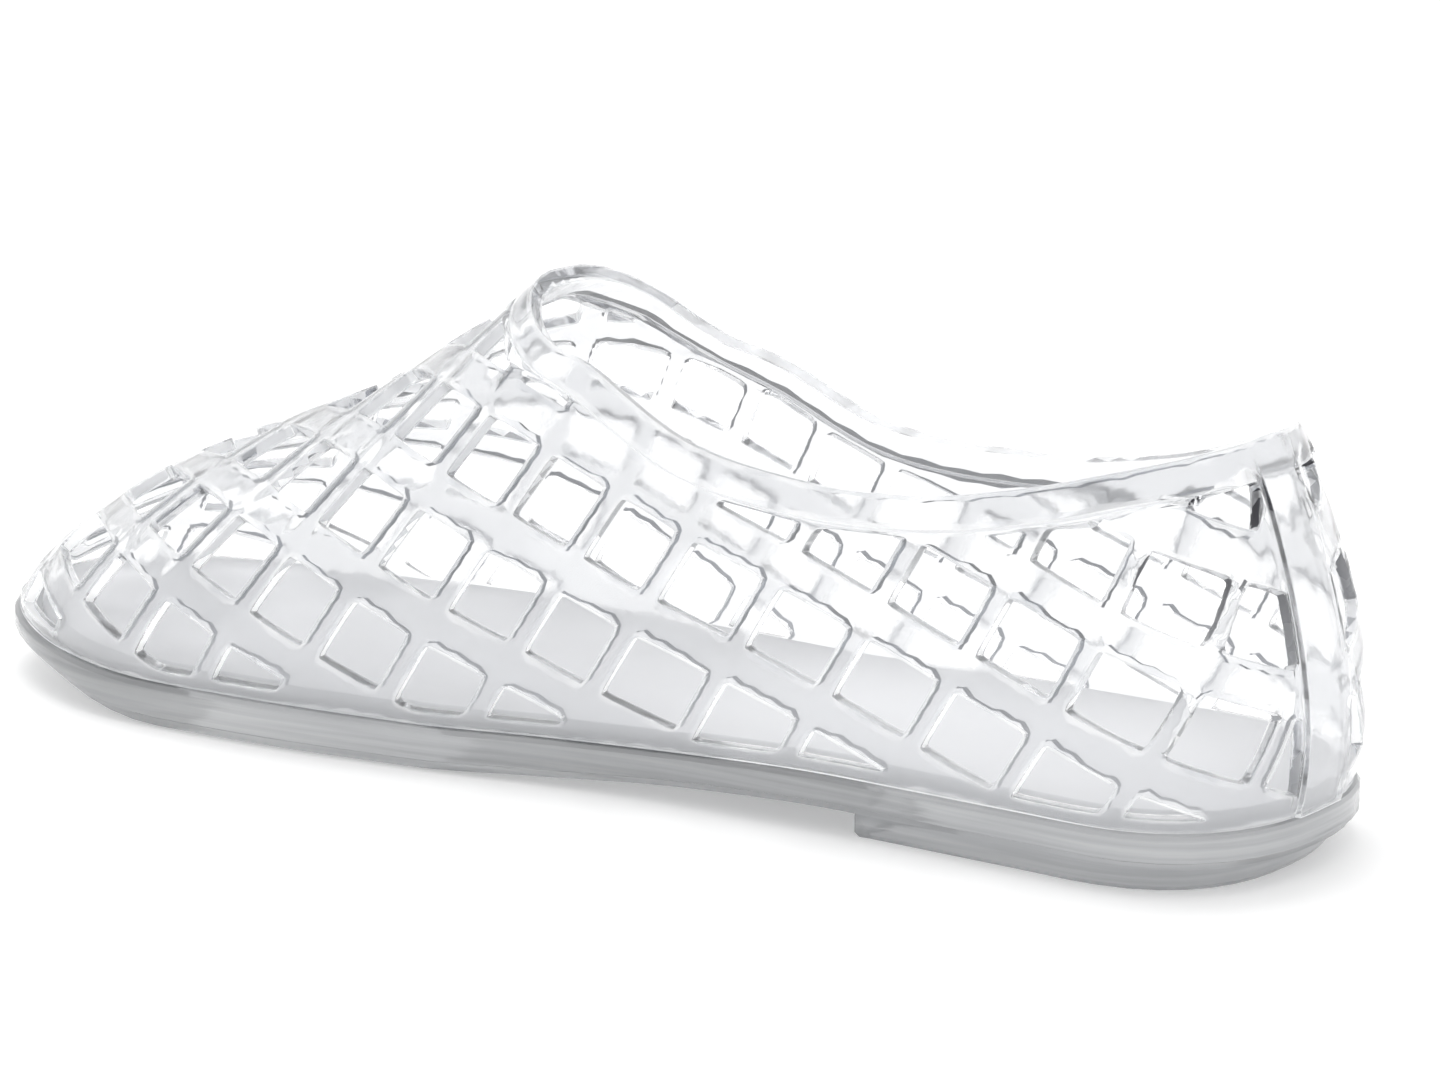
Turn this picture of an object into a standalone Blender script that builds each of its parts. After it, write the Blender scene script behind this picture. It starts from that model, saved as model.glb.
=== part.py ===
"""A clear moulded jelly flat for the right foot: a net upper, a footbed and an outsole with its heel lift.

Sizes are millimetres and become metres when a mesh is made. +Y runs from heel to toe, +X to the outer
(lateral) side of the foot and +Z up. The shoe stands on the floor, with its origin under its middle.
"""

import math
from collections import namedtuple

import bmesh
import bpy
import numpy as np
from mathutils.geometry import delaunay_2d_cdt

MM = 0.001

# Driving dimensions of the last and the sole
LENGTH = 250.0
BALL_WIDTH = 80.0
INSTEP_HEIGHT = 77.0
HEEL_HEIGHT = 67.3
EDGE_THICKNESS = 7.2
HEEL_LIFT = 4.0
TOE_SPRING = 7.6
FOOTBED_THICKNESS = 3.0

# The upper's wall and its raised bands
WALL = 2.2
RELIEF = 0.7
RELIEF_RUN = 0.4
COLLAR_BAND = 5.4
HEEL_STRIP = 13.0
FOOT_BAND = 2.2

# The net: rows of windows climb from heel to toe, between broad bands and narrow strips
ROW_RISE = 16.4
ROW_LEAN = 10.0
COLUMN_DROP = 5.8
BROAD_BAND = 7.0
NARROW_STRIP = 3.2
CORNER_RADIUS = 1.0
CORNER_SHARE = 0.4
NET_START = 211.0
NET_BASE = 14.8
TOP_ROW_LEAN = 4.0
TOP_ROWS_FROM_ROW = 6
ROW_COUNT = 9
SMALLEST_WINDOW = 6.0
SLIMMEST_WINDOW = 1.9
WINDOW_MARGIN = 0.5

# How far apart the columns of windows are, from each named column back towards the heel
PitchRow = namedtuple("PitchRow", "column pitch")
PITCHES = (
    PitchRow(-6, 18.0),
    PitchRow(-2, 13.6),
    PitchRow(4, 16.6),
    PitchRow(13, 16.6),
)

# Fits between pieces
CLEARANCE = 0.3
SOLE_LEDGE = 0.9
FOOTBED_EDGE_SLOPE = 0.8
FOOTBED_TOE_ROOM = 2.0

# The heel lift under the sole
LIFT_LENGTH = 69.0
LIFT_SIDE_INSET = 2.6
LIFT_BACK_INSET = 5.0
LIFT_BITE = 1.0
LIFT_CHAMFER = 0.8

# Spacing of the points that describe the surfaces
RIM_STEP = 5.3
EDGE_STEP = 4.6
EDGE_SLACK = 0.2
FILL_STEP = 7.5
FILL_MARGIN = 2.4
SEAM_SNAP = 0.35
SEAM_MERGE = 0.02
POINT_MERGE = 0.0001
RIDGE_GAP = 1.0
RIB_SAMPLES = 41
RIM_SAMPLES = 801
COLLAR_POINTS = 61
BAND_SKIP_POINTS = 3
SHORTEST_SQUARED = 1e-12

# Plan of the last's feather edge, as shares of length and ball width
OutlineRow = namedtuple("OutlineRow", "along centre half_width")
OUTLINE = (
    OutlineRow(0.00, -0.0150, 0.4050),
    OutlineRow(0.16, 0.0350, 0.4050),
    OutlineRow(0.30, 0.0500, 0.3975),
    OutlineRow(0.40, 0.0610, 0.4040),
    OutlineRow(0.50, 0.0650, 0.4375),
    OutlineRow(0.60, 0.0560, 0.4825),
    OutlineRow(0.70, 0.0375, 0.5000),
    OutlineRow(0.80, 0.0100, 0.4800),
    OutlineRow(0.90, -0.0080, 0.4300),
    OutlineRow(1.00, -0.0100, 0.3800),
)
HEEL_ROUND_LENGTH = 0.12
HEEL_ROUND_POWER = 2.35
TOE_ROUND_LENGTH = 0.18
TOE_ROUND_POWER = 2.1

# Underside of the sole's slab as shares of heel lift and toe spring, and its edge as a share of thickness
SoleRow = namedtuple("SoleRow", "along lift spring edge")
SOLE = (
    SoleRow(0.00, 1.00, 0.00, 0.81),
    SoleRow(0.28, 1.00, 0.00, 0.76),
    SoleRow(0.40, 0.72, 0.00, 0.78),
    SoleRow(0.52, 0.22, 0.00, 0.95),
    SoleRow(0.60, 0.00, 0.00, 1.02),
    SoleRow(0.80, 0.00, 0.00, 1.05),
    SoleRow(0.84, 0.00, 0.15, 0.95),
    SoleRow(0.88, 0.00, 0.46, 0.70),
    SoleRow(0.92, 0.00, 0.73, 0.51),
    SoleRow(1.00, 0.00, 1.00, 0.46),
)

# Where each rib of the wall ends: its way along, its height as shares of heel and instep, its sideways shift
CrownRow = namedtuple("CrownRow", "along reach heel instep shift")
CROWN = (
    CrownRow(0.000, 0.190, 1.412, 0.000, 0.000),
    CrownRow(0.100, 0.222, 1.412, 0.000, 0.000),
    CrownRow(0.200, 0.276, 1.412, 0.000, 0.000),
    CrownRow(0.300, 0.336, 1.412, 0.000, -0.002),
    CrownRow(0.400, 0.416, 1.000, 0.344, -0.014),
    CrownRow(0.504, 0.508, 0.200, 1.004, -0.039),
    CrownRow(0.552, 0.554, 0.000, 1.065, -0.049),
    CrownRow(0.580, 0.580, 0.000, 1.000, -0.050),
    CrownRow(0.632, 0.632, 0.000, 0.880, -0.045),
    CrownRow(0.708, 0.708, 0.000, 0.722, -0.026),
    CrownRow(0.780, 0.780, 0.000, 0.621, -0.010),
    CrownRow(0.872, 0.872, 0.000, 0.484, -0.002),
    CrownRow(0.920, 0.920, 0.000, 0.390, 0.000),
    CrownRow(0.960, 0.960, 0.000, 0.290, 0.000),
    CrownRow(0.984, 0.984, 0.000, 0.210, 0.000),
    CrownRow(1.000, 1.000, 0.000, 0.150, 0.000),
)

# How far the wall swells beyond a quarter round, as shares of a rib's way in: low down and over the side
SwellRow = namedtuple("SwellRow", "along low wide")
SWELL = (
    SwellRow(0.00, 0.05, 0.00),
    SwellRow(0.20, 0.00, 0.08),
    SwellRow(0.75, 0.00, 0.08),
    SwellRow(1.00, 0.00, 0.00),
)
LOW_SWELL_FALL = 6
WIDE_SWELL_FALL = 2

# Collar line on the wall, from the middle of the heel to the throat: rib, and share of the rib's height
CollarRow = namedtuple("CollarRow", "order inner_rib inner_up outer_rib outer_up")
COLLAR = (
    CollarRow(0.00, 0.000, 0.471, 0.000, 0.471),
    CollarRow(0.10, 0.076, 0.437, 0.058, 0.432),
    CollarRow(0.20, 0.154, 0.397, 0.108, 0.391),
    CollarRow(0.30, 0.231, 0.367, 0.185, 0.340),
    CollarRow(0.40, 0.297, 0.359, 0.277, 0.313),
    CollarRow(0.50, 0.358, 0.372, 0.338, 0.312),
    CollarRow(0.60, 0.405, 0.396, 0.400, 0.328),
    CollarRow(0.70, 0.450, 0.439, 0.447, 0.359),
    CollarRow(0.80, 0.500, 0.523, 0.500, 0.428),
    CollarRow(0.87, 0.535, 0.620, 0.538, 0.536),
    CollarRow(0.94, 0.566, 0.780, 0.566, 0.700),
    CollarRow(1.00, 0.580, 1.000, 0.580, 1.000),
)

# Profile of the sole's edge from the floor up: inset from the ledge and share of the edge's thickness
EdgeRow = namedtuple("EdgeRow", "inset up")
SOLE_EDGE = (
    EdgeRow(2.4, 0.00),
    EdgeRow(1.1, 0.05),
    EdgeRow(0.9, 0.22),
    EdgeRow(0.0, 0.28),
    EdgeRow(0.0, 0.90),
    EdgeRow(0.5, 1.00),
)

# Plain vinyl of each piece
Vinyl = namedtuple("Vinyl", "red green blue roughness clearness")
UPPER_VINYL = Vinyl(0.90, 0.92, 0.94, 0.08, 0.90)
OUTSOLE_VINYL = Vinyl(0.80, 0.82, 0.84, 0.12, 0.70)
FOOTBED_VINYL = Vinyl(0.80, 0.82, 0.84, 0.25, 0.50)
VINYL_IOR = 1.53
SHARP_ANGLE = 35.0

INNER, OUTER = -1, 1


def smooth_line(rows, column, key=None):
    """A smooth line through one column of a table, level wherever two rows agree."""
    key = key or rows[0]._fields[0]
    at = np.array([getattr(row, key) for row in rows])
    value = np.array([getattr(row, column) for row in rows])
    gap = np.diff(at)
    slope = np.diff(value) / gap
    same_way = slope[:-1] * slope[1:] > 0
    total = np.where(same_way, slope[:-1] + slope[1:], 1.0)
    inside = np.where(same_way, 2 * slope[:-1] * slope[1:] / total, 0.0)
    tangent = np.concatenate([slope[:1], inside, slope[-1:]])

    def line(share):
        share = np.clip(share, at[0], at[-1])
        i = np.clip(np.searchsorted(at, share, side="right") - 1, 0, len(gap) - 1)
        t = (share - at[i]) / gap[i]
        return (
            value[i] * (1 + 2 * t) * (1 - t) ** 2
            + tangent[i] * gap[i] * t * (1 - t) ** 2
            + value[i + 1] * (3 - 2 * t) * t**2
            - tangent[i + 1] * gap[i] * (1 - t) * t**2
        )

    return line


outline_centre = smooth_line(OUTLINE, "centre")
outline_half = smooth_line(OUTLINE, "half_width")
sole_lift = smooth_line(SOLE, "lift")
sole_spring = smooth_line(SOLE, "spring")
sole_edge = smooth_line(SOLE, "edge")
swell_low = smooth_line(SWELL, "low")
swell_wide = smooth_line(SWELL, "wide")
crown_reach = smooth_line(CROWN, "reach")
crown_heel = smooth_line(CROWN, "heel", "reach")
crown_instep = smooth_line(CROWN, "instep", "reach")
crown_shift = smooth_line(CROWN, "shift", "reach")


def end_rounding(along):
    """Narrows the outline to nothing at the heel and the toe, as a share of its width."""
    into_heel = np.clip((HEEL_ROUND_LENGTH - along) / HEEL_ROUND_LENGTH, 0, 1)
    into_toe = np.clip((along - 1 + TOE_ROUND_LENGTH) / TOE_ROUND_LENGTH, 0, 1)
    heel = (1 - into_heel**HEEL_ROUND_POWER) ** (1 / HEEL_ROUND_POWER)
    toe = (1 - into_toe**TOE_ROUND_POWER) ** (1 / TOE_ROUND_POWER)
    return heel * toe


def floor_height(along):
    """Underside of the sole's slab above the floor."""
    return HEEL_LIFT * sole_lift(along) + TOE_SPRING * sole_spring(along)


def rim_height(along):
    """Top of the sole's edge above the floor."""
    return floor_height(along) + EDGE_THICKNESS * sole_edge(along)


def rim_point(side, along):
    """The feather edge, where the wall meets the sole."""
    half = BALL_WIDTH * outline_half(along) * end_rounding(along)
    x = BALL_WIDTH * outline_centre(along) + side * half
    return np.stack([x, LENGTH * along, rim_height(along)], -1)


def crown_point(along):
    """Top of the rib that starts at this share of the rim; in front of the throat it is the ridge."""
    reach = crown_reach(along)
    x = BALL_WIDTH * (outline_centre(reach) + crown_shift(reach))
    z = HEEL_HEIGHT * crown_heel(reach) + INSTEP_HEIGHT * crown_instep(reach)
    return np.stack([x, LENGTH * reach, z], -1)


def swelling(up, fall):
    """A swelling up a rib that is 1 at its fullest; a greater fall keeps it lower."""
    fullest = 1 / (1 + fall)
    return up * (1 - up) ** fall / (fullest * (1 - fullest) ** fall)


def wall_point(side, along, up):
    """Outer face of the wall: a rib from rim to crown, bulged above the sole like a foot's side."""
    along, up = np.broadcast_arrays(np.asarray(along, float), np.asarray(up, float))
    rim = rim_point(side, along)
    crown = crown_point(along)
    turn = up * math.pi / 2
    low = swell_low(along) * swelling(up, LOW_SWELL_FALL)
    wide = swell_wide(along) * swelling(up, WIDE_SWELL_FALL)
    inward = 1 - np.cos(turn) - low - wide
    point = rim + (crown - rim) * inward[..., None]
    point[..., 2] = rim[..., 2] + (crown[..., 2] - rim[..., 2]) * np.sin(turn)
    return point


def path_lengths(points):
    """Distance along a run of points, from its first point."""
    steps = np.linalg.norm(np.diff(points, axis=-2), axis=-1)
    start = np.zeros(steps.shape[:-1] + (1,))
    return np.concatenate([start, np.cumsum(steps, axis=-1)], -1)


class Unrolled:
    """The wall laid flat: across is the way along the rim from the heel, up is the way up a rib."""

    def __init__(self):
        self.along = np.linspace(0, 1, RIM_SAMPLES)
        self.across = path_lengths(rim_point(INNER, self.along))
        self.up = np.linspace(0, 1, RIB_SAMPLES)
        ribs = wall_point(INNER, self.along[:, None], self.up[None, :])
        self.rib_lengths = path_lengths(ribs)
        self.width = self.across[-1]

    def rib(self, across):
        """Share of the rim at this way along it."""
        return np.interp(across, self.across, self.along)

    def height(self, across, up=1.0):
        """Way up the rib to this share of its height."""
        across, up = np.broadcast_arrays(np.asarray(across, float), np.asarray(up, float))
        rows = np.array([np.interp(a, self.across, np.arange(RIM_SAMPLES)) for a in across.ravel()])
        low = np.minimum(rows.astype(int), RIM_SAMPLES - 2)
        part = rows - low
        lengths = [
            np.interp(u, self.up, self.rib_lengths[i] * (1 - t) + self.rib_lengths[i + 1] * t)
            for i, t, u in zip(low, part, up.ravel())
        ]
        return np.array(lengths).reshape(across.shape)

    def fold(self, side, flat):
        """Puts flat points back on the wall."""
        placed = []
        for across, way_up in flat:
            along = self.rib(across)
            row = np.interp(across, self.across, np.arange(RIM_SAMPLES))
            low = min(int(row), RIM_SAMPLES - 2)
            lengths = self.rib_lengths[low] * (low + 1 - row) + self.rib_lengths[low + 1] * (row - low)
            on_crown = lengths[-1] - way_up < SEAM_SNAP
            up = 1.0 if on_crown else float(np.interp(way_up, lengths, self.up))
            placed.append(wall_point(side, along, up))
        return np.array(placed)


def spaced(start, end, step):
    """Evenly spaced numbers from start to end, both kept, about one step apart."""
    count = max(1, round(abs(end - start) / step))
    return np.linspace(start, end, count + 1)


def collar_line(flat, side):
    """The collar on the flat wall, from the middle of the heel to the throat."""
    name = "inner" if side == INNER else "outer"
    order = np.linspace(0, 1, COLLAR_POINTS)
    rib = smooth_line(COLLAR, name + "_rib")(order)
    up = smooth_line(COLLAR, name + "_up")(order)
    across = np.interp(rib, flat.along, flat.across)
    return np.stack([across, flat.height(across, up)], -1)


def beside(line, distance):
    """The line moved sideways, into the wall below the collar."""
    run = np.gradient(line, axis=0)
    normal = np.stack([run[:, 1], -run[:, 0]], -1)
    normal /= np.linalg.norm(normal, axis=1)[:, None]
    normal[0] = (0, -1)
    return line + normal * distance


def band_line(flat, collar, distance):
    """Lower border of a band along the collar, carried on to the ridge."""
    line = beside(collar, distance)
    kept = [p for p in line if p[1] < flat.height(p[0]) - RIDGE_GAP]
    throat = collar[-1][0] + distance * ridge_ratio(flat, collar[-1][0])
    return np.array(kept + [(throat, float(flat.height(throat)))])


def ridge_ratio(flat, across):
    """Rim length for each length of ridge, just in front of the throat."""
    step = RIM_STEP
    ridge = crown_point(flat.rib(np.array([across, across + step])))
    return step / float(np.linalg.norm(ridge[1] - ridge[0]))


def inside(polygon, points):
    """Which points lie inside a closed polygon."""
    polygon = np.asarray(polygon)
    points = np.atleast_2d(points)
    hit = np.zeros(len(points), bool)
    for a, b in zip(polygon, np.roll(polygon, -1, axis=0)):
        crosses = (a[1] > points[:, 1]) != (b[1] > points[:, 1])
        with np.errstate(divide="ignore", invalid="ignore"):
            where = (b[0] - a[0]) * (points[:, 1] - a[1]) / (b[1] - a[1]) + a[0]
        hit ^= crosses & (points[:, 0] < where)
    return hit


def distance_to(line, points, closed=False):
    """Shortest way from each point to a run of points."""
    line = np.asarray(line)
    ends = np.roll(line, -1, axis=0) if closed else line[1:]
    starts = line if closed else line[:-1]
    best = np.full(len(points), np.inf)
    for a, b in zip(starts, ends):
        run = b - a
        share = np.clip((points - a) @ run / max(run @ run, SHORTEST_SQUARED), 0, 1)
        best = np.minimum(best, np.linalg.norm(points - a - share[:, None] * run, axis=1))
    return best


def cut_back(polygon, point, normal):
    """The part of a convex polygon on the normal's side of a line through the point."""
    kept = []
    if not len(polygon):
        return polygon
    for a, b in zip(polygon, np.roll(polygon, -1, axis=0)):
        ahead = (a - point) @ normal
        next_ahead = (b - point) @ normal
        if ahead >= 0:
            kept.append(a)
        if ahead * next_ahead < 0:
            kept.append(a + (b - a) * ahead / (ahead - next_ahead))
    return np.array(kept)


def area_and_width(polygon):
    """Area of a polygon, and its mean width."""
    ahead = np.roll(polygon, -1, axis=0)
    area = abs(np.sum(polygon[:, 0] * ahead[:, 1] - polygon[:, 1] * ahead[:, 0])) / 2
    return area, 4 * area / np.sum(np.linalg.norm(ahead - polygon, axis=1))


def rounded(polygon, radius):
    """A polygon with three points round each corner and no stretch longer than the edge step."""
    points = []
    for before, corner, after in zip(np.roll(polygon, 1, axis=0), polygon, np.roll(polygon, -1, axis=0)):
        back, ahead = before - corner, after - corner
        reach = min(radius, CORNER_SHARE * np.linalg.norm(back), CORNER_SHARE * np.linalg.norm(ahead))
        start = corner + back * reach / np.linalg.norm(back)
        end = corner + ahead * reach / np.linalg.norm(ahead)
        points += [start, (start + end + 2 * corner) / 4, end]
    loop = []
    for a, b in zip(points, points[1:] + points[:1]):
        parts = max(1, math.ceil(np.linalg.norm(b - a) / EDGE_STEP - EDGE_SLACK))
        loop += [a + (b - a) * i / parts for i in range(parts)]
    return np.array(loop)


def column_places():
    """Where each column of windows stands along the rim, and how long its windows are."""
    pitches = {}
    for row, following in zip(PITCHES, PITCHES[1:]):
        for column in range(row.column, following.column):
            pitches[column] = row.pitch
    ways = np.cumsum([(pitches.get(column - 1, 0) + pitch) / 2 for column, pitch in pitches.items()])
    start = NET_START + ways[list(pitches).index(0)]
    return {column: (start - way, pitches[column]) for column, way in zip(pitches, ways)}


def plain_window(row, column, place, pitch):
    """Middle and corners of one opening of the net, before the bands cut into it."""
    climb = np.array([-ROW_LEAN, ROW_RISE])
    tall = climb / 2 * (1 - BROAD_BAND / np.linalg.norm(climb))
    wide = np.array([pitch, COLUMN_DROP]) / 2 * (1 - NARROW_STRIP / pitch)
    leant = place - TOP_ROW_LEAN * max(0, row - TOP_ROWS_FROM_ROW)
    middle = np.array([leant, -COLUMN_DROP * column - NET_BASE]) + climb * row
    corners = [middle - wide - tall, middle + wide - tall, middle + wide + tall, middle - wide + tall]
    return middle, np.array(corners)


def net_windows(flat, collar):
    """The openings of the net on the flat wall, cut back to the bands round it."""
    under_collar = band_line(flat, collar, COLLAR_BAND + RELIEF_RUN + WINDOW_MARGIN)
    last = len(under_collar) - 1
    foot_limit = (np.array([0, FOOT_BAND]), np.array([0, 1]))
    heel_limit = (np.array([HEEL_STRIP / 2 + RELIEF_RUN + WINDOW_MARGIN, 0]), np.array([1, 0]))
    windows = []
    for row in range(ROW_COUNT):
        for column, (place, pitch) in column_places().items():
            middle, window = plain_window(row, column, place, pitch)
            if not 0 < middle[0] < flat.width:
                continue
            nearest = np.argmin(np.linalg.norm(under_collar - middle, axis=1))
            run = under_collar[min(nearest + 1, last)] - under_collar[max(nearest - 1, 0)]
            collar_limit = (under_collar[nearest], np.array([run[1], -run[0]]))
            for point, normal in (foot_limit, heel_limit, collar_limit):
                window = cut_back(window, point, normal)
            if len(window) < 3 or window[:, 1].min() > flat.height(window[:, 0].mean()) - FOOT_BAND:
                continue
            area, width = area_and_width(window)
            if area > SMALLEST_WINDOW and width > SLIMMEST_WINDOW:
                windows.append(clear_of_ridge(flat, rounded(window, CORNER_RADIUS)))
    return windows


def clear_of_ridge(flat, window):
    """A window crosses the ridge or stays clear of it, and none of its points lies near it."""
    below = flat.height(window[:, 0]) - window[:, 1]
    near = np.abs(below) < RIDGE_GAP
    crosses = below.min() < 0
    window[near, 1] += below[near] + (RIDGE_GAP if crosses else -RIDGE_GAP)
    return window


def wall_outline(flat, collar):
    """Border of one half of the flat wall: rim, toe, ridge, collar and the middle of the heel."""
    foot = [(a, 0.0) for a in spaced(0, flat.width, RIM_STEP)]
    throat = collar[-1][0]
    ridge = [(a, float(flat.height(a))) for a in spaced(flat.width, throat, EDGE_STEP)]
    way = path_lengths(collar)
    steps = spaced(way[-1], 0, EDGE_STEP)
    top = list(zip(np.interp(steps, way, collar[:, 0]), np.interp(steps, way, collar[:, 1])))
    back = [(0.0, h) for h in spaced(collar[0][1], 0, RIM_STEP)]
    return np.array(foot + ridge + top[1:] + back[1:-1])


def flat_half(flat, side):
    """Triangles of one half of the flat net, and which of its points are on the raised bands."""
    collar = collar_line(flat, side)
    border = wall_outline(flat, collar)
    windows = net_windows(flat, collar)
    open_lines = []
    for extra in (0, RELIEF_RUN):
        open_lines.append(band_line(flat, collar, COLLAR_BAND + extra)[1::BAND_SKIP_POINTS])
        across = HEEL_STRIP / 2 + extra
        top = np.interp(across, collar[:, 0], collar[:, 1])
        open_lines.append(np.array([(across, h) for h in spaced(0, top, RIM_STEP)]))

    points, constraints = [], []

    def add(line, closed):
        first = len(points)
        points.extend(tuple(p) for p in line)
        count = len(line) if closed else len(line) - 1
        constraints.extend((first + i, first + (i + 1) % len(line)) for i in range(count))

    add(border, True)
    for window in windows:
        add(window, True)
    for line in open_lines:
        add(line, False)

    across, up = np.meshgrid(
        np.arange(FILL_STEP / 2, flat.width, FILL_STEP),
        np.arange(FILL_STEP / 2, border[:, 1].max(), FILL_STEP),
    )
    grid = np.stack([across.ravel(), up.ravel()], -1)
    free = inside(border, grid) & (distance_to(border, grid, True) > FILL_MARGIN)
    for window in windows:
        free &= ~inside(window, grid) & (distance_to(window, grid, True) > FILL_MARGIN)
    for line in open_lines:
        free &= distance_to(line, grid) > FILL_MARGIN
    points.extend(tuple(p) for p in grid[free])

    corners, _, faces, *_ = delaunay_2d_cdt(points, constraints, [], 0, POINT_MERGE)
    corners = np.array([tuple(c) for c in corners])
    middles = np.array([corners[list(face)].mean(axis=0) for face in faces])
    solid = inside(border, middles)
    for window in windows:
        solid &= ~inside(window, middles)
    faces = [tuple(face) for face, keep in zip(faces, solid) if keep]
    on_band = distance_to(collar, corners) < COLLAR_BAND + RELIEF_RUN / 2
    on_strip = corners[:, 0] < HEEL_STRIP / 2 + RELIEF_RUN / 2
    return corners, faces, on_band | on_strip


def add_object(name, mesh_data, collection, look):
    """A smooth-shaded object with its own vinyl."""
    mesh_data.name = name
    item = bpy.data.objects.new(name, mesh_data)
    collection.objects.link(item)
    vinyl = bpy.data.materials.new(name + "_vinyl")
    vinyl.use_nodes = True
    shader = vinyl.node_tree.nodes["Principled BSDF"]
    shader.inputs["Base Color"].default_value = (look.red, look.green, look.blue, 1.0)
    shader.inputs["Roughness"].default_value = look.roughness
    shader.inputs["Metallic"].default_value = 0.0
    shader.inputs["Transmission Weight"].default_value = look.clearness
    shader.inputs["IOR"].default_value = VINYL_IOR
    mesh_data.materials.append(vinyl)
    mesh_data.shade_smooth()
    mesh_data.set_sharp_from_angle(angle=math.radians(SHARP_ANGLE))
    return item


def sewn_net(flat):
    """Outer face of the upper as one mesh, sewn along ridge and heel, and its raised and foot points."""
    model = bmesh.new()
    raised_layer = model.verts.layers.int.new("raised")
    foot_layer = model.verts.layers.int.new("foot")
    for side in (INNER, OUTER):
        corners, faces, raised = flat_half(flat, side)
        placed = flat.fold(side, corners)
        verts = {}
        for i in sorted({i for face in faces for i in face}):
            verts[i] = model.verts.new(placed[i] * MM)
            verts[i][raised_layer] = int(raised[i])
            verts[i][foot_layer] = int(corners[i][1] < SEAM_SNAP)
        for face in faces:
            model.faces.new([verts[i] for i in (face if side == INNER else face[::-1])])
    bmesh.ops.translate(model, verts=model.verts, vec=(0, 0, CLEARANCE * MM))
    bmesh.ops.remove_doubles(model, verts=model.verts, dist=SEAM_MERGE * MM)
    bmesh.ops.recalc_face_normals(model, faces=model.faces)
    model.normal_update()
    return model, raised_layer, foot_layer


def net_upper(collection):
    """The net upper: the sewn net pushed inward to give the wall its thickness, with a level foot."""
    model, raised_layer, foot_layer = sewn_net(Unrolled())
    order_layer = model.verts.layers.int.new("order")
    model.verts.index_update()
    outer = list(model.verts)
    places = [v.co.copy() for v in outer]
    normals = [v.normal.copy() for v in outer]
    for i, vert in enumerate(outer):
        vert[order_layer] = i
    made = bmesh.ops.extrude_face_region(model, geom=list(model.faces), use_keep_orig=True)["geom"]
    for vert in made:
        if isinstance(vert, bmesh.types.BMVert):
            vert.co -= normals[vert[order_layer]] * WALL * MM
            if vert[foot_layer]:
                vert.co.z = places[vert[order_layer]].z
    for i, vert in enumerate(outer):
        if vert[raised_layer]:
            vert.co += normals[i] * RELIEF * MM
    bmesh.ops.recalc_face_normals(model, faces=model.faces)
    mesh = bpy.data.meshes.new("upper")
    model.to_mesh(mesh)
    model.free()
    return add_object("upper", mesh, collection, UPPER_VINYL)


def rim_shares():
    """Shares of the length where the rim's points stand, evenly spaced round the edge."""
    along = np.linspace(0, 1, RIM_SAMPLES)
    way = path_lengths(rim_point(INNER, along))
    return np.interp(spaced(0, way[-1], RIM_STEP), way, along)


def plan_loop(inset):
    """Closed loop round the sole, up the inner side and down the outer one, moved in by inset(along)."""
    shares = rim_shares()
    along = np.concatenate([shares, shares[-2:0:-1]])
    inner = rim_point(INNER, shares)
    outer = rim_point(OUTER, shares[-2:0:-1])
    plan = np.concatenate([inner, outer])[:, :2]
    run = np.roll(plan, -1, axis=0) - np.roll(plan, 1, axis=0)
    inward = np.stack([run[:, 1], -run[:, 0]], -1)
    inward /= np.linalg.norm(inward, axis=1)[:, None]
    return along, plan + inward * np.broadcast_to(inset(along), along.shape)[:, None]


def stacked_slab(levels):
    """A closed slab through loops stacked from bottom to top, each level an inset and a height."""
    model = bmesh.new()
    loops = []
    for inset, height in levels:
        along, plan = plan_loop(inset)
        heights = height(along)
        loops.append([model.verts.new((x * MM, y * MM, z * MM)) for (x, y), z in zip(plan, heights)])
    count = len(loops[0])
    for lower, upper in zip(loops, loops[1:]):
        for i in range(count):
            j = (i + 1) % count
            model.faces.new((lower[i], upper[i], upper[j], lower[j]))
    for loop in (loops[0], loops[-1]):
        for i in range(count // 2):
            near, far = loop[i], loop[-i % count]
            next_near, next_far = loop[i + 1], loop[-(i + 1) % count]
            corners = [near, next_near, next_far, far]
            model.faces.new(list(dict.fromkeys(corners)))
    bmesh.ops.recalc_face_normals(model, faces=model.faces)
    mesh = bpy.data.meshes.new("slab")
    model.to_mesh(mesh)
    model.free()
    return mesh


def outsole(collection, cutters):
    """The sole's slab with its stepped edge, arch and toe spring, and the heel lift moulded under it."""
    levels = []
    for edge in SOLE_EDGE:
        def inset(along, edge=edge):
            return edge.inset - SOLE_LEDGE + 0 * along

        def height(along, edge=edge):
            return floor_height(along) + edge.up * (rim_height(along) - floor_height(along))

        levels.append((inset, height))
    sole = add_object("outsole", stacked_slab(levels), collection, OUTSOLE_VINYL)
    lift = add_object("heel_lift_union", heel_lift(), cutters, OUTSOLE_VINYL)
    lift.hide_render = True
    lift.display_type = "WIRE"
    join = sole.modifiers.new("heel_lift", "BOOLEAN")
    join.operation = "UNION"
    join.solver = "EXACT"
    join.object = lift
    return sole


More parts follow.
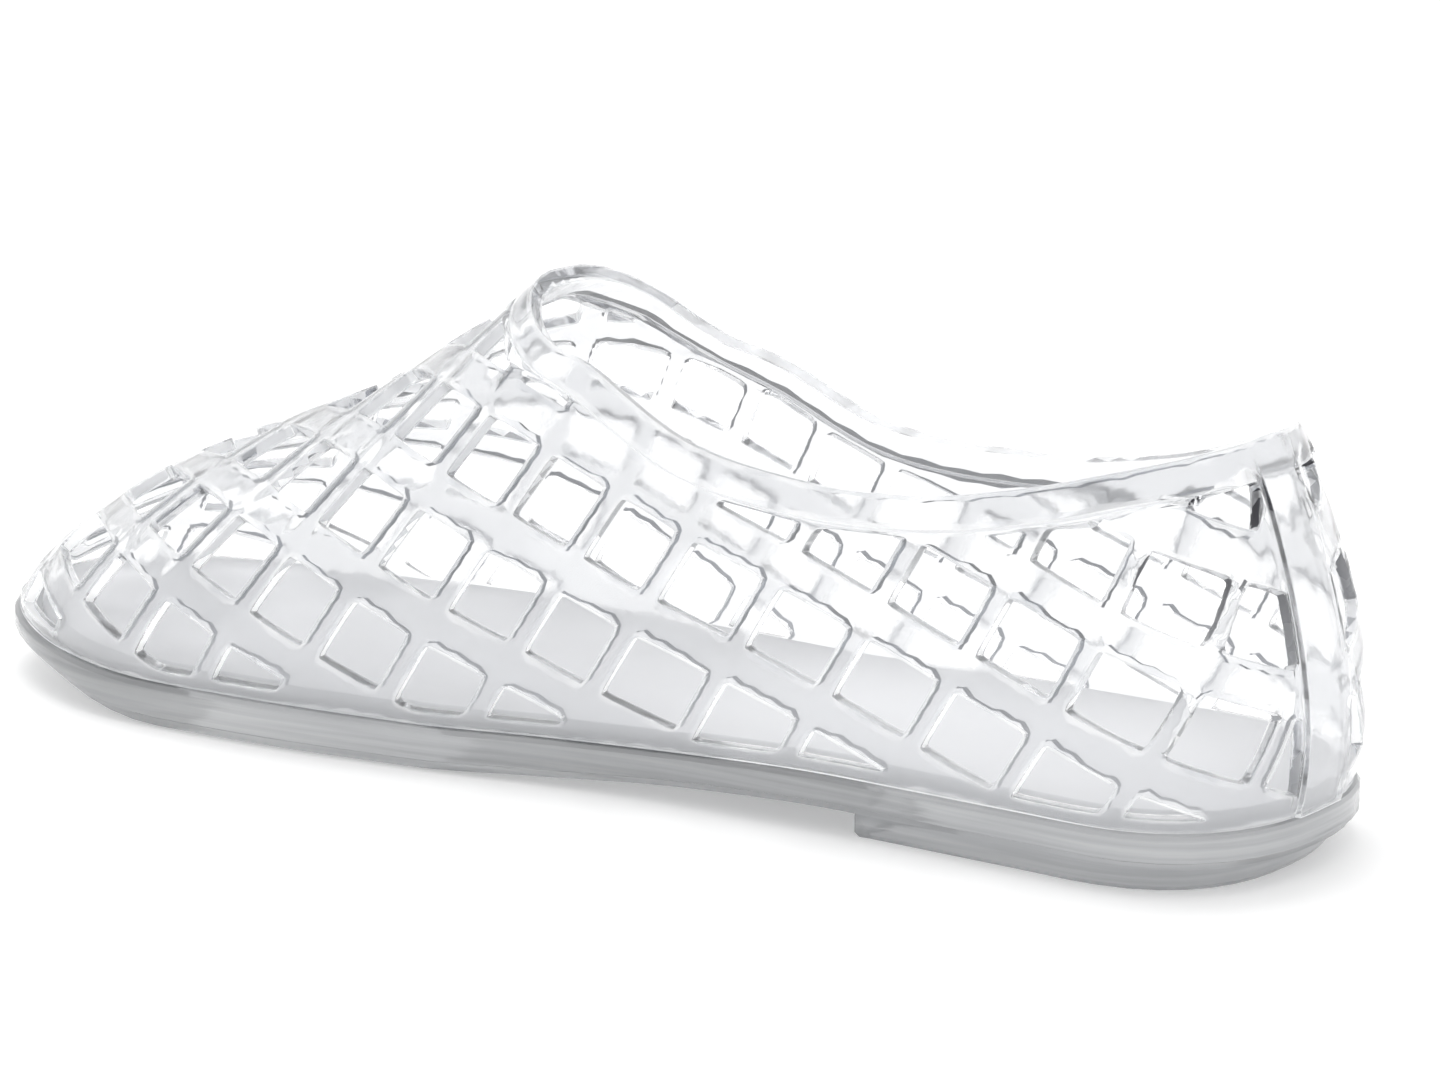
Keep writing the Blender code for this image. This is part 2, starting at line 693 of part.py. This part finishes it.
def heel_lift():
    """The pad under the heel: the sole's outline moved in, cut straight across in front."""
    def inset(along):
        back = np.clip(1 - along / HEEL_ROUND_LENGTH, 0, 1)
        return LIFT_SIDE_INSET + (LIFT_BACK_INSET - LIFT_SIDE_INSET) * back - SOLE_LEDGE

    along, plan = plan_loop(inset)
    behind = plan[:, 1] < LIFT_LENGTH
    half = len(plan) // 2
    inner = [p for i, p in enumerate(plan) if behind[i] and i <= half]
    outer = [p for i, p in enumerate(plan) if behind[i] and i > half]
    corner_in = np.array([inner[-1][0], LIFT_LENGTH])
    corner_out = np.array([outer[0][0], LIFT_LENGTH])
    loop = np.array(inner + [corner_in, corner_out] + outer)
    middle = loop.mean(axis=0)
    model = bmesh.new()
    top = HEEL_LIFT + LIFT_BITE
    layers = ((LIFT_CHAMFER, 0.0), (0.0, LIFT_CHAMFER), (0.0, top))
    rings = []
    for drawn_in, z in layers:
        toward = middle - loop
        toward /= np.linalg.norm(toward, axis=1)[:, None]
        ring = loop + toward * drawn_in
        rings.append([model.verts.new((x * MM, y * MM, z * MM)) for x, y in ring])
    count = len(loop)
    for lower, upper in zip(rings, rings[1:]):
        for i in range(count):
            j = (i + 1) % count
            model.faces.new((lower[i], upper[i], upper[j], lower[j]))
    model.faces.new(rings[0])
    model.faces.new(rings[-1])
    bmesh.ops.recalc_face_normals(model, faces=model.faces)
    mesh = bpy.data.meshes.new("heel_lift")
    model.to_mesh(mesh)
    model.free()
    return mesh


def footbed(collection):
    """The insole: a thin slab inside the wall, just above the sole."""
    def inset(slope):
        def room(along):
            toe = np.clip((along - 1 + TOE_ROUND_LENGTH) / TOE_ROUND_LENGTH, 0, 1) ** 2
            return WALL + CLEARANCE + slope + FOOTBED_TOE_ROOM * toe
        return room

    levels = (
        (inset(0.0), lambda along: rim_height(along) + CLEARANCE),
        (inset(0.0), lambda along: rim_height(along) + CLEARANCE + FOOTBED_THICKNESS / 2),
        (inset(FOOTBED_EDGE_SLOPE), lambda along: rim_height(along) + CLEARANCE + FOOTBED_THICKNESS),
    )
    return add_object("insole", stacked_slab(levels), collection, FOOTBED_VINYL)


def clear_scene():
    """Empties the scene that the script starts in."""
    for item in list(bpy.data.objects):
        bpy.data.objects.remove(item, do_unlink=True)


def new_collection(name):
    """A collection in the scene."""
    collection = bpy.data.collections.new(name)
    bpy.context.scene.collection.children.link(collection)
    return collection


def main():
    clear_scene()
    shoe = new_collection("jelly_sandal")
    cutters = new_collection("joined_forms")
    pieces = [outsole(shoe, cutters), footbed(shoe), net_upper(shoe)]
    corners = np.array([v.co for item in pieces for v in item.data.vertices])
    middle = (corners.min(axis=0) + corners.max(axis=0)) / 2
    for item in pieces + list(cutters.objects):
        item.location = (-middle[0], -middle[1], 0)


main()
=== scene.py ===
"""A clear jelly flat on a white table, lit from above by soft studio light."""

import math

import bmesh
import bpy
from mathutils import Matrix, Vector
from mathutils.bvhtree import BVHTree


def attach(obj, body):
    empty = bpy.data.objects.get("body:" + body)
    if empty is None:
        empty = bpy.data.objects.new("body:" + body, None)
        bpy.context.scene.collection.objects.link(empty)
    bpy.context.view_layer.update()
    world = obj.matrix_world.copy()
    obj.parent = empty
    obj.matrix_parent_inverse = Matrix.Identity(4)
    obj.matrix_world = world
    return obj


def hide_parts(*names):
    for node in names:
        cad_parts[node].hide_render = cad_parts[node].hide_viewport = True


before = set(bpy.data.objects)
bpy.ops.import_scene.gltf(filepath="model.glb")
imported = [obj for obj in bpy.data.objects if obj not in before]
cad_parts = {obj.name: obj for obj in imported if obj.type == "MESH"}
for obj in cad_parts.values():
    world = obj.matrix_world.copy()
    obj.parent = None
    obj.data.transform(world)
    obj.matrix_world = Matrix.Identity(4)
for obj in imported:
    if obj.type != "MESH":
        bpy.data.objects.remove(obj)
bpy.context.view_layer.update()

# Camera fitted to the photograph, in the shoe's frame
CAMERA_PLACE = Vector((-0.9388, -0.6224, 0.3071))
CAMERA_AHEAD = Vector((0.81423, 0.53089, -0.23511))
CAMERA_UP = Vector((0.1873, 0.1334, 0.9732))
LENS_MM = 176.65
SENSOR_MM = 36.0

# The room: the way from the camera to the backdrop, and how dim its near side is
AWAY = Vector((0.83, 0.55, 0.0))
DIM_ROOM = 0.5

# Rounding of the moulded edges
UPPER_EDGE = 0.00045
SOLE_EDGE = 0.0004
FOOTBED_EDGE = 0.0006
SHARP = math.radians(32)
SAME_PLACE = 0.00001

# The net's narrow sides are those that turn away from a line down the middle of the room for the foot
SHARP_SIDE = math.radians(50)
SPINE_REACH = 0.08
SPINE_HEIGHT = 0.025
MOST_OUTWARD = 0.5

# A side with no vinyl opposite it is a step or the collar's edge, and the others stand in a window
NEAR_SKIN = 0.0002
WIDEST_WINDOW = 0.03
COLLAR_FROM = 0.03
HEEL_TO = -0.105
MOST_UPWARD = 0.5

# The windows' sides that face the heel and the sole, between two heights, carry a painted highlight that
# glows
HIGHLIGHT_WAY = Vector((0, -0.8, -0.6))
LEAST_HIGHLIGHT = 0.25
HIGHLIGHT_FROM = 0.009
INNER_HIGHLIGHT_TO = 0.042
OUTER_HIGHLIGHT_TO = 0.08

# The net's finishes, in the order of its material slots; the last one is for its rounded edges
# Of these, the milky sides are a painted highlight, the rim is painted grey shade, the crease is painted
# dark, and the edges are painted grey lines with a painted glow
CLEAR, PAINTED_HIGHLIGHT, SHADED_RIM, PAINTED_DARK_STEP, EDGE = range(5)


class Wire:
    """A socket's value in a finish, with the sums that the patterns need."""

    def __init__(self, finish, socket):
        self.finish = finish
        self.socket = socket

    def __add__(self, other):
        return self.finish.maths("ADD", self, other)

    def __mul__(self, other):
        return self.finish.maths("MULTIPLY", self, other)

    __radd__ = __add__
    __rmul__ = __mul__


class Nodes:
    """A node tree built up node by node."""

    def __init__(self, tree):
        self.tree = tree

    def node(self, kind, settings=None, sockets=None):
        """A node of one type, its settings first and then the values or wires of its sockets."""
        made = self.tree.nodes.new(kind)
        for key, value in (settings or {}).items():
            setattr(made, key, value)
        self.fill(made, sockets or {})
        return made

    def fill(self, node, sockets):
        """Gives a node's sockets their values or wires."""
        for key, value in sockets.items():
            socket = node.inputs[key]
            if isinstance(value, Wire):
                self.tree.links.new(value.socket, socket)
            else:
                socket.default_value = value

    def out(self, node, key=0):
        """One output of a node."""
        return Wire(self, node.outputs[key])

    def maths(self, operation, first, second):
        """A Math node on two numbers or wires."""
        return self.out(self.node("ShaderNodeMath", {"operation": operation}, {0: first, 1: second}))

    def ramp(self, value, low, high, start=0.0, end=1.0):
        """Takes a value that goes from start to end to numbers from low to high."""
        sockets = {"Value": value, "From Min": start, "From Max": end, "To Min": low, "To Max": high}
        return self.out(self.node("ShaderNodeMapRange", {}, sockets), "Result")


class Finish(Nodes):
    """A material and its Principled shader."""

    def __init__(self, name):
        self.material = bpy.data.materials.new(name)
        self.material.use_nodes = True
        super().__init__(self.material.node_tree)
        self.shader = self.tree.nodes["Principled BSDF"]

    def place(self):
        """The point on the piece, in its own coordinates."""
        return self.out(self.node("ShaderNodeTexCoord"), "Object")

    def along(self, axis):
        """How far the point lies along one axis of the piece."""
        return self.out(self.node("ShaderNodeSeparateXYZ", {}, {0: self.place()}), axis)

    def noise(self, scale, detail=2.0, stretch=(1, 1, 1)):
        """Soft cloudy noise, from 0 to 1."""
        spread = self.node("ShaderNodeMapping", {}, {"Vector": self.place(), "Scale": stretch})
        sockets = {"Vector": self.out(spread), "Scale": scale, "Detail": detail}
        return self.out(self.node("ShaderNodeTexNoise", {}, sockets), "Fac")

    def blend(self, share, first, second):
        """A colour between two colours."""
        sockets = {"Factor": share, 6: first, 7: second}
        return self.out(self.node("ShaderNodeMix", {"data_type": "RGBA"}, sockets), 2)

    def bump(self, height, strength, distance):
        """Small unevenness of the surface."""
        sockets = {"Height": height, "Strength": strength, "Distance": distance}
        return self.out(self.node("ShaderNodeBump", {}, sockets))

    def depth(self, colour, density):
        """Darkens the light that goes far through the vinyl."""
        murk = self.node("ShaderNodeVolumeAbsorption", {}, {"Color": colour, "Density": density})
        self.tree.links.new(murk.outputs[0], self.tree.nodes["Material Output"].inputs["Volume"])

    def plastic(self, **sockets):
        """Sets the shader's sockets; spaces in their names are written as underscores."""
        self.fill(self.shader, {key.replace("_", " "): value for key, value in sockets.items()})


def clear_vinyl():
    """The upper's clear soft vinyl: glassy, faintly cool, with the slow waves of moulding."""
    finish = Finish("clear_vinyl")
    waves = finish.noise(110.0, 1.0, (1, 0.7, 1))
    ripples = finish.noise(420.0, 2.0)
    finish.plastic(
        Base_Color=finish.blend(finish.noise(40.0), (0.94, 0.945, 0.955, 1), (0.98, 0.983, 0.987, 1)),
        Roughness=finish.ramp(ripples, 0.02, 0.12),
        IOR=1.5,
        Transmission_Weight=0.9,
        Normal=finish.bump(waves + ripples * 0.1, 0.2, 0.0006),
    )
    finish.depth((0.6, 0.62, 0.66, 1), 40.0)
    return finish.material


def painted_highlight_vinyl():
    """A painted highlight on the windows' sides: pale, faintly rough vinyl that glows, standing for light
    caught by the clear sides.
    """
    finish = Finish("painted_highlight_vinyl")
    grain = finish.noise(300.0)
    finish.plastic(
        Base_Color=finish.blend(grain, (0.94, 0.945, 0.95, 1), (1.0, 1.0, 1.0, 1)),
        Roughness=finish.ramp(grain, 0.25, 0.45),
        IOR=1.5,
        Transmission_Weight=0.2,
        # Painted glow: the emission makes these sides bright like a highlight
        Emission_Color=(1, 1, 1, 1),
        Emission_Strength=0.32,
        Normal=finish.bump(grain, 0.2, 0.0004),
    )
    return finish.material


def painted_shade_rim_vinyl():
    """The collar's top edge, with painted shade: grey that stands for the thickness of clear vinyl under
    it, and a faint painted glow.
    """
    finish = Finish("painted_shade_rim_vinyl")
    grain = finish.noise(200.0)
    finish.plastic(
        # Painted shade: the grey stands for how the clear edge refracts the room
        Base_Color=finish.blend(grain, (0.78, 0.79, 0.81, 1), (0.9, 0.91, 0.93, 1)),
        Roughness=finish.ramp(grain, 0.15, 0.3),
        IOR=1.5,
        Transmission_Weight=0.4,
        Emission_Color=(1, 1, 1, 1),
        Emission_Strength=0.1,
        Normal=finish.bump(grain, 0.1, 0.0004),
    )
    return finish.material


def crease_painted_dark_vinyl():
    """The steps beside the heel strip, painted dark as a painted reflection of the dim room in the vinyl,
    darkest at the top.
    """
    finish = Finish("crease_painted_dark_vinyl")
    # Painted reflection: grey going to near black towards the top
    top = finish.ramp(finish.along("Z"), 0.0, 1.0, 0.03, 0.055)
    finish.plastic(
        Base_Color=finish.blend(top, (0.5, 0.51, 0.53, 1), (0.05, 0.05, 0.06, 1)),
        Roughness=finish.ramp(finish.noise(200.0), 0.2, 0.35),
        IOR=1.5,
        Transmission_Weight=0.1,
    )
    return finish.material


def edge_painted_lines_vinyl():
    """The rounded edges of the net, drawn as thin broken grey lines of painted shade, with a painted glow
    that makes them fainter on the outer side.
    """
    finish = Finish("edge_painted_lines_vinyl")
    breaks = finish.ramp(finish.noise(130.0, 2.0), 0.0, 1.0, 0.35, 0.65)
    # Painted light: the outer side is paler and glows more, as if lit from behind
    outer = finish.ramp(finish.along("X"), 0.0, 0.6, -0.005, 0.02)
    finish.plastic(
        Base_Color=finish.blend(breaks + outer, (0.76, 0.77, 0.79, 1), (1.0, 1.0, 1.0, 1)),
        Roughness=finish.ramp(breaks, 0.08, 0.2),
        IOR=1.5,
        Transmission_Weight=0.75,
        Emission_Color=finish.blend(outer, (0.35, 0.36, 0.37, 1), (0.8, 0.81, 0.83, 1)),
        Emission_Strength=0.2,
    )
    return finish.material


def footbed_painted_glow_vinyl():
    """The footbed's cloudy vinyl, an even pale grey with a faint flow, and a painted glow that stands for
    light reaching it through the clear walls.
    """
    finish = Finish("footbed_painted_glow_vinyl")
    flow = finish.noise(26.0, 3.0, (1, 0.35, 1))
    finish.plastic(
        Base_Color=finish.blend(flow, (0.60, 0.605, 0.62, 1), (0.65, 0.655, 0.67, 1)),
        Roughness=finish.ramp(flow, 0.6, 0.7),
        IOR=1.4,
        # Painted glow: the emission stands for light coming in through the clear upper
        Emission_Color=(0.97, 0.98, 1.0, 1),
        Emission_Strength=0.16,
        Normal=finish.bump(finish.noise(300.0), 0.12, 0.0005),
    )
    return finish.material


def sole_vinyl():
    """The outsole's clear vinyl, grey by its depth, with fine lines round its edge."""
    finish = Finish("sole_vinyl")
    flow = finish.noise(40.0, 2.0, (1, 0.25, 2))
    lines = finish.noise(60.0, 2.0, (0.3, 0.3, 14))
    pale = finish.ramp(flow + lines, 0.0, 1.0, 0.75, 1.25)
    finish.plastic(
        Base_Color=finish.blend(pale, (0.49, 0.50, 0.515, 1), (0.70, 0.71, 0.72, 1)),
        Roughness=finish.ramp(flow, 0.08, 0.2),
        IOR=1.5,
        Transmission_Weight=0.5,
        Normal=finish.bump(flow + lines * 0.5, 0.25, 0.001),
    )
    return finish.material


def table_paint():
    """The plain white table, lit from within like a light table."""
    finish = Finish("white_table")
    finish.plastic(
        Base_Color=(0.8, 0.8, 0.8, 1),
        Roughness=0.6,
        Emission_Color=(1, 1, 1, 1),
        Emission_Strength=0.32,
    )
    return finish.material


def narrow_side(face):
    """Tells whether a face is one of the net's narrow sides, not its inner or outer skin."""
    middle = face.calc_center_median()
    spine = Vector((0, min(max(middle.y, -SPINE_REACH), SPINE_REACH), SPINE_HEIGHT))
    outward = abs(face.normal.dot((middle - spine).normalized()))
    return outward <= MOST_OUTWARD and max(edge.calc_face_angle(0) for edge in face.edges) > SHARP_SIDE


def finish_net(form):
    """Marks the net's edges for rounding and gives its narrow sides their finishes.

    The windows' sides facing the heel and the sole get a painted highlight, the collar's edge painted grey
    shade, and the steps beside the heel strip are painted dark and stay square.
    """
    tree = BVHTree.FromBMesh(form)
    rounded = form.edges.layers.float.new("bevel_weight_edge")
    for edge in form.edges:
        edge[rounded] = 1.0 if edge.calc_face_angle(0) > SHARP else 0.0
    # Each narrow side may get painted light: painted dark steps, a painted grey collar edge, or a painted
    # highlight
    for face in filter(narrow_side, form.faces):
        middle = face.calc_center_median()
        opposite = tree.ray_cast(middle + face.normal * NEAR_SKIN, face.normal, WIDEST_WINDOW)[0]
        highlight_to = INNER_HIGHLIGHT_TO if middle.x < 0 else OUTER_HIGHLIGHT_TO
        if opposite is None and middle.y < HEEL_TO and abs(face.normal.z) < MOST_UPWARD:
            face.material_index = PAINTED_DARK_STEP
            for edge in face.edges:
                edge[rounded] = 0.0
        elif opposite is None and middle.z > COLLAR_FROM:
            face.material_index = SHADED_RIM
        elif face.normal.dot(HIGHLIGHT_WAY) > LEAST_HIGHLIGHT and HIGHLIGHT_FROM < middle.z < highlight_to:
            face.material_index = PAINTED_HIGHLIGHT


def moulded_copy(name, node, edge, levels, *finishes):
    """A smooth copy of a CAD piece with its moulded edges rounded; it stands for that piece."""
    is_net = len(finishes) > 1
    form = bmesh.new()
    form.from_mesh(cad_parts[node].data)
    bmesh.ops.remove_doubles(form, verts=form.verts, dist=SAME_PLACE)
    if is_net:
        finish_net(form)
    mesh = bpy.data.meshes.new(name)
    form.to_mesh(mesh)
    form.free()
    piece = bpy.data.objects.new(name, mesh)
    bpy.context.scene.collection.objects.link(piece)
    for finish in finishes:
        mesh.materials.append(finish)
    mesh.shade_smooth()
    rounding = piece.modifiers.new("edges", "BEVEL")
    rounding.width = edge
    rounding.segments = 2
    rounding.limit_method = "WEIGHT" if is_net else "ANGLE"
    rounding.angle_limit = SHARP
    rounding.material = EDGE if is_net else -1
    if levels:
        smoothing = piece.modifiers.new("smoothing", "SUBSURF")
        smoothing.levels = levels
        smoothing.render_levels = levels
    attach(piece, "root")
    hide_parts(node)
    node + "_vinyl"
    return piece


def table():
    """A wide white table, no part of the shoe."""
    top = bmesh.new()
    bmesh.ops.create_grid(top, x_segments=1, y_segments=1, size=4.0)
    mesh = bpy.data.meshes.new("table")
    top.to_mesh(mesh)
    top.free()
    mesh.materials.append(table_paint())
    item = bpy.data.objects.new("table", mesh)
    bpy.context.scene.collection.objects.link(item)


def camera():
    """The photograph's view."""
    data = bpy.data.cameras.new("camera")
    data.lens = LENS_MM
    data.sensor_width = SENSOR_MM
    data.clip_start = 0.01
    data.clip_end = 50.0
    item = bpy.data.objects.new("camera", data)
    bpy.context.scene.collection.objects.link(item)
    ahead = CAMERA_AHEAD.normalized()
    right = ahead.cross(CAMERA_UP).normalized()
    up = right.cross(ahead)
    turn = Matrix((right, up, -ahead)).transposed()
    item.matrix_world = Matrix.Translation(CAMERA_PLACE) @ turn.to_4x4()
    bpy.context.scene.camera = item


def soft_light(name, place, target, size, power):
    """A square soft box facing a target."""
    data = bpy.data.lights.new(name, "AREA")
    data.size = size
    data.energy = power
    item = bpy.data.objects.new(name, data)
    bpy.context.scene.collection.objects.link(item)
    item.location = place
    item.rotation_euler = (Vector(target) - Vector(place)).to_track_quat("-Z", "Y").to_euler()


def studio():
    """White behind and above the shoe, and a dim room on the camera's side that draws the clear edges."""
    world = bpy.data.worlds.new("studio")
    bpy.context.scene.world = world
    world.use_nodes = True
    room = Nodes(world.node_tree)
    sight = room.out(room.node("ShaderNodeTexCoord"), "Generated")
    way = room.node("ShaderNodeSeparateXYZ", {}, {0: sight})
    behind = room.out(way, "X") * AWAY.x + room.out(way, "Y") * AWAY.y
    wall = room.ramp(behind, DIM_ROOM, 1.0, 0.0, 0.5)
    ceiling = room.ramp(room.out(way, "Z"), 0.0, 1.1, 0.2, 0.85)
    light = room.maths("MAXIMUM", wall, ceiling)
    room.fill(world.node_tree.nodes["Background"], {"Color": light, "Strength": 1.0})
    view = bpy.context.scene.view_settings
    view.view_transform = "Standard"
    view.look = "None"
    view.exposure = 0.0


net_finishes = {
    CLEAR: clear_vinyl(),
    PAINTED_HIGHLIGHT: painted_highlight_vinyl(),
    SHADED_RIM: painted_shade_rim_vinyl(),
    PAINTED_DARK_STEP: crease_painted_dark_vinyl(),
    EDGE: edge_painted_lines_vinyl(),
}
moulded_copy("net_upper", "upper", UPPER_EDGE, 1, *net_finishes.values())
moulded_copy("footbed", "insole", FOOTBED_EDGE, 0, footbed_painted_glow_vinyl())
moulded_copy("sole", "outsole", SOLE_EDGE, 0, sole_vinyl())
table()
studio()
soft_light("key", (0.3, 0.5, 1.4), (0, 0, 0), 1.0, 8.0)
camera()
